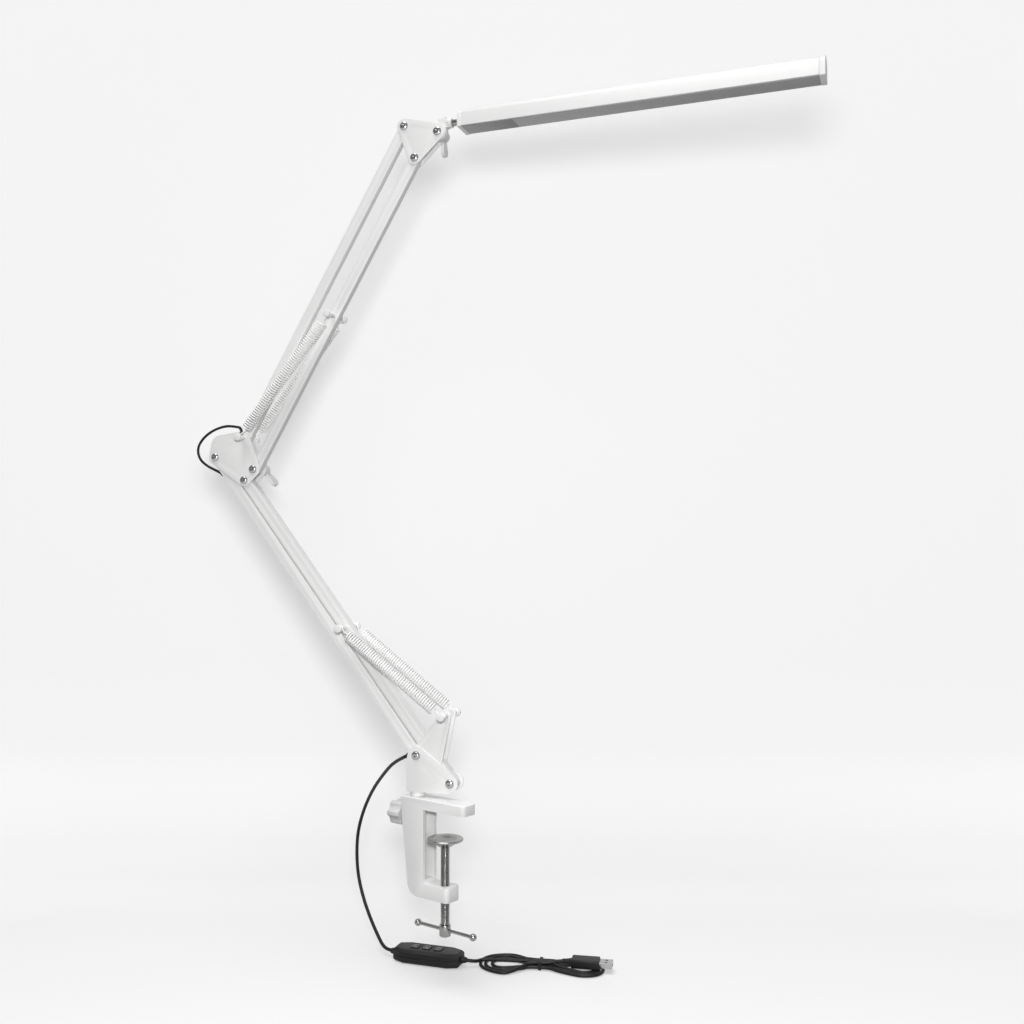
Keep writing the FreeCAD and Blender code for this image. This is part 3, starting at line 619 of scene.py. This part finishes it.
capped_pins("ear_studs_turned", "base", "ear_studs", EAR_TIP, 0.0145, 0.0051)
coated("base_washers", "base", nylon, 0.0001, 2)
rubber = grained("soft_rubber", (0.012, 0.012, 0.013), 0.55, 0.0005, 0.3, 0.3, shine=0.25)
coated("cord_grommet", "base", rubber, 0.0004, 3)

# ---- Lower arm ---------------------------------------------------------------------------------
# Two square steel tubes, coated white, with their ends rounded over the pivots.
coated("lower_bar_a", "lower_arm_a", enamel, 0.0007)
coated("lower_bar_b", "lower_arm_b", enamel, 0.0007)
capped_pins("lower_pin_turned", "lower_arm_b", "lower_spring_pin", LOWER_PIN, 0.0145)
coated("bar_cable_grommet", "lower_arm_a", rubber, 0.0003, 3)

# Close-wound tension springs of white-coated wire, an eye at each end round its pin.
WIRE, COIL, PITCH, CLEAR = 0.00065, 0.0048, 0.0024, 0.0105
POINTS_PER_TURN = 14
spring_coat = grained("white_wire_coat", (0.90, 0.90, 0.895), 0.3, 0.0012, 0.05, 0.03)


def wound_spring(start, end, depth):
    """The wire's centreline: eye, shank, coils, shank, eye."""
    first, last = arm(start[0], depth, start[1]), arm(end[0], depth, end[1])
    line = last - first
    reach = line.length
    line.normalize()
    side = line.cross(ACROSS).normalized()
    steps = round((reach - 2 * CLEAR) / PITCH) * POINTS_PER_TURN
    eye_radius = BOLT + 0.0001 + WIRE
    eye = [
        eye_radius * (line * math.cos(math.radians(t)) + side * math.sin(math.radians(t)))
        for t in range(-160, 161, 16)
    ]
    points = [first - bend for bend in reversed(eye)]
    bow = ACROSS * COIL * 0.4
    points += [first + line * (CLEAR - 0.004), first + line * (CLEAR - 0.002) + bow]
    for i in range(steps + 1):
        a = 2 * math.pi * i / POINTS_PER_TURN
        along = CLEAR + (reach - 2 * CLEAR) * i / steps
        points.append(first + line * along + COIL * (math.cos(a) * ACROSS + math.sin(a) * side))
    points += [last - line * (CLEAR - 0.002) + bow, last - line * (CLEAR - 0.004)]
    return points + [last + bend for bend in eye]


def springs(name, start, end, depth):
    pair = [
        tube_along(name, wound_spring(start, end, side * depth), WIRE, 8, spring_coat)
        for side in (-1, 1)
    ]
    return joined(name, pair)


lower_springs = springs("lower_springs_wound", EAR_TIP, LOWER_PIN, 0.0145)
fitted(lower_springs, "lower_spring_pair", "spring_white", "lower_springs")

# ---- Elbow -------------------------------------------------------------------------------------
# Two pressed plates take all four bars. The upper bars are thinner, so washers fill the gap.
coated("elbow_plates", "elbow", enamel, 0.0003)
bolts("elbow_bolts_turned", "elbow", "elbow_bolts",
      [(A1, 0.0062, 0.0084), (B1, 0.0062, 0.0084), (D0, 0.0062, 0.018)])
dome_nuts("elbow_nuts_turned", "elbow", "elbow_nuts", 0.0062, (A1, B1))
capped_pins("elbow_pin_turned", "elbow", "elbow_spring_pin", C0, 0.0124)
coated("elbow_spacers", "elbow", nylon, 0.0002, 2)
coated("elbow_cable_relief", "elbow", sheath, 0.0001, 2)
coated("elbow_wing_nut", "elbow_wing", enamel, 0.0010, 4)

# ---- Upper arm ---------------------------------------------------------------------------------
# The same tube in a flatter section, with its own pair of springs down to the elbow pin.
coated("upper_bar_d", "upper_arm_d", enamel, 0.0006)
coated("upper_bar_c", "upper_arm_c", enamel, 0.0006)
capped_pins("upper_pin_turned", "upper_arm_d", "upper_spring_pin", UPPER_PIN, 0.0124)
upper_springs = springs("upper_springs_wound", C0, UPPER_PIN, 0.0124)
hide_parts("upper_springs", "upper_spring_hooks")
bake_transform(upper_springs)

# ---- Head joint --------------------------------------------------------------------------------
# Two small plates level the head. A knuckle between them is nipped by a wing nut, and its steel
# stub lets the light bar roll.
coated("head_plates", "head_fork", enamel, 0.0003)
bolts("head_bolts_turned", "head_fork", "head_bolts",
      [(C1, 0.0044, 0.0066), (D1, 0.0044, 0.0066), (TILT, 0.0044, 0.011)])
dome_nuts("head_nuts_turned", "head_fork", "head_nuts", 0.0044, (C1, D1))
coated("head_wing_nut", "head_wing", enamel, 0.0010, 4)
coated("head_hub", "head_knuckle", enamel, 0.0006)
coated("head_stub", "head_knuckle", steel, 0.0003, 2)

# ---- Light bar ---------------------------------------------------------------------------------
# An arched aluminium housing, coated white, closed by two moulded ends. Below it the driver's
# cover and the long diffuser show grey with the light off.
coated("head_housing", "lamp_head", enamel, 0.0003)
for end_piece in ("head_end_inner", "head_end_outer"):
    coated(end_piece, "lamp_head", nylon, 0.0007, 4)
diffuser_grey = grained("unlit_diffuser", (0.34, 0.34, 0.345), 0.45, 0.0009, 0.08, 0.08)
cover_grey = grained("driver_cover_grey", (0.27, 0.27, 0.275), 0.5, 0.0009, 0.12, 0.08)
coated("light_diffuser", "lamp_head", diffuser_grey, 0.0003, 2)
coated("driver_cover", "lamp_head", cover_grey, 0.0003, 2)
board_white = grained("circuit_lacquer", (0.7, 0.72, 0.7), 0.3, 0.001, 0.05, 0.05)
boards = {"led_board": "lamp_head", "driver_board": "lamp_head", "controller_board": "base"}
for board, body in boards.items():
    coated(board, body, board_white, 0.0001, 1)
phosphor = grained("chip_phosphor", (0.75, 0.6, 0.15), 0.35, 0.0008, 0.05, 0.08)
coated("led_chips", "lamp_head", phosphor, 0.0001, 1)

# ---- Controller --------------------------------------------------------------------------------
# A black moulded case in two shells on the cord, with three keys, each ringed in pale print.
black = grained("black_moulding", (0.010, 0.010, 0.011), 0.45, 0.0006, 0.25, 0.25, shine=0.25)
controller_shells = [
    coated(shell, "base", black, 0.0010, 4)
    for shell in ("controller_top", "controller_bottom")
]
controller_reliefs = coated("controller_reliefs", "base", rubber, 0.0004, 3)
pale_print = grained("pale_print", (0.33, 0.33, 0.34), 0.5, 0.0006, 0.1, 0.1)
KEY_TURN = Matrix.Rotation(math.radians(17.3 + 1.4), 4, "Z")


def outline_on_key(name, points, closed, place, body):
    """A printed line: a thin bead of pale print standing a hair above the key."""
    curve = bpy.data.curves.new(name, "CURVE")
    curve.dimensions = "3D"
    curve.bevel_depth = 0.00022
    curve.bevel_resolution = 2
    spline = curve.splines.new("POLY")
    spline.points.add(len(points) - 1)
    for point, (x, y) in zip(spline.points, points):
        point.co = (*(place + KEY_TURN @ Vector((x, y, 0.0))), 1)
    spline.use_cyclic_u = closed
    curve.materials.append(pale_print)
    line = placed(name, curve)
    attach(line, body)


def arc(radius, start, end, steps=20):
    turns = [math.radians(start + (end - start) * i / steps) for i in range(steps + 1)]
    return [(radius * math.cos(t), radius * math.sin(t)) for t in turns]


def key_border():
    corner, half_x, half_y = 0.0011, 0.0027, 0.0032
    ring = []
    for i, (sx, sy) in enumerate(((1, 1), (-1, 1), (-1, -1), (1, -1))):
        centre = (sx * (half_x - corner), sy * (half_y - corner))
        ring += [(centre[0] + x, centre[1] + y) for x, y in arc(corner, 90 * i, 90 * i + 90, 5)]
    return ring


signs = {
    "mode": [arc(0.0011, 40, 320)],
    "dim": [arc(0.0008, 0, 360), [(-0.0014, -0.0018), (0.0014, -0.0018)]],
    "power": [arc(0.0011, 130, 410), [(0.0, 0.0004), (0.0, 0.0017)]],
}
for key, marks in signs.items():
    coated("button_" + key, key + "_button", black, 0.0004, 3)
    low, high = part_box("button_" + key)
    centre = Vector(((low.x + high.x) / 2, (low.y + high.y) / 2, high.z + 0.00002))
    outline_on_key(key + "_border", key_border(), True, centre, key + "_button")
    for i, mark in enumerate(marks):
        outline_on_key(f"{key}_sign_{i}", mark, False, centre, key + "_button")

# ---- Plug and tie ------------------------------------------------------------------------------
# A USB plug: black moulded grip with a tapered tail, a folded steel shell and a plastic tongue
# inside. Its two latch windows are not cut: two black squares just above the shell are painted
# shade where the holes show dark. A soft rubber tie holds the hank's turns together.
plug_body = coated("plug_body", "base", black, 0.0009, 3)
plug_shell = coated("plug_shell", "base", bright, 0.0002, 2)
plug_tongue = coated("plug_tongue", "base", pale_print, 0.0002, 2)
PLUG_START, PLUG_LENGTH, PLUG_Y, PLUG_Z = 0.0868, 0.0257, 0.0015, 0.0072
WINDOW = 0.0012
tail = turned(
    "plug_tail",
    [(0.0017, -0.0090), (0.0020, -0.0088), (0.0022, -0.0060), (0.0026, -0.0030), (0.0034, 0.0003)],
    HANK @ Vector((PLUG_START, PLUG_Y, PLUG_Z)),
    (HANK @ Vector((1, 0, 0))) - (HANK @ Vector((0, 0, 0))), rubber, 32)
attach(tail, "base")
# Painted shade: two black squares a hair above the shell stand in for the latch windows' dark
# holes.
window_shade_mesh = bpy.data.meshes.new("latch_windows_painted_shade")
corners, quads = [], []
for side in (-1, 1):
    centre_x, centre_y = PLUG_START + PLUG_LENGTH + 0.0062, PLUG_Y + side * 0.0029
    first = len(corners)
    for dx, dy in ((-1, -1), (1, -1), (1, 1), (-1, 1)):
        corner = (centre_x + dx * WINDOW, centre_y + dy * WINDOW, PLUG_Z + 0.00228)
        corners.append(HANK @ Vector(corner))
    quads.append((first, first + 1, first + 2, first + 3))
window_shade_mesh.from_pydata(corners, [], quads)
window_shade_mesh.materials.append(black)
window_shades = placed("latch_windows_painted_shade", window_shade_mesh)
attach(window_shades, "base")
hank_tie = coated("hank_tie", "base", rubber, 0.0003, 3)
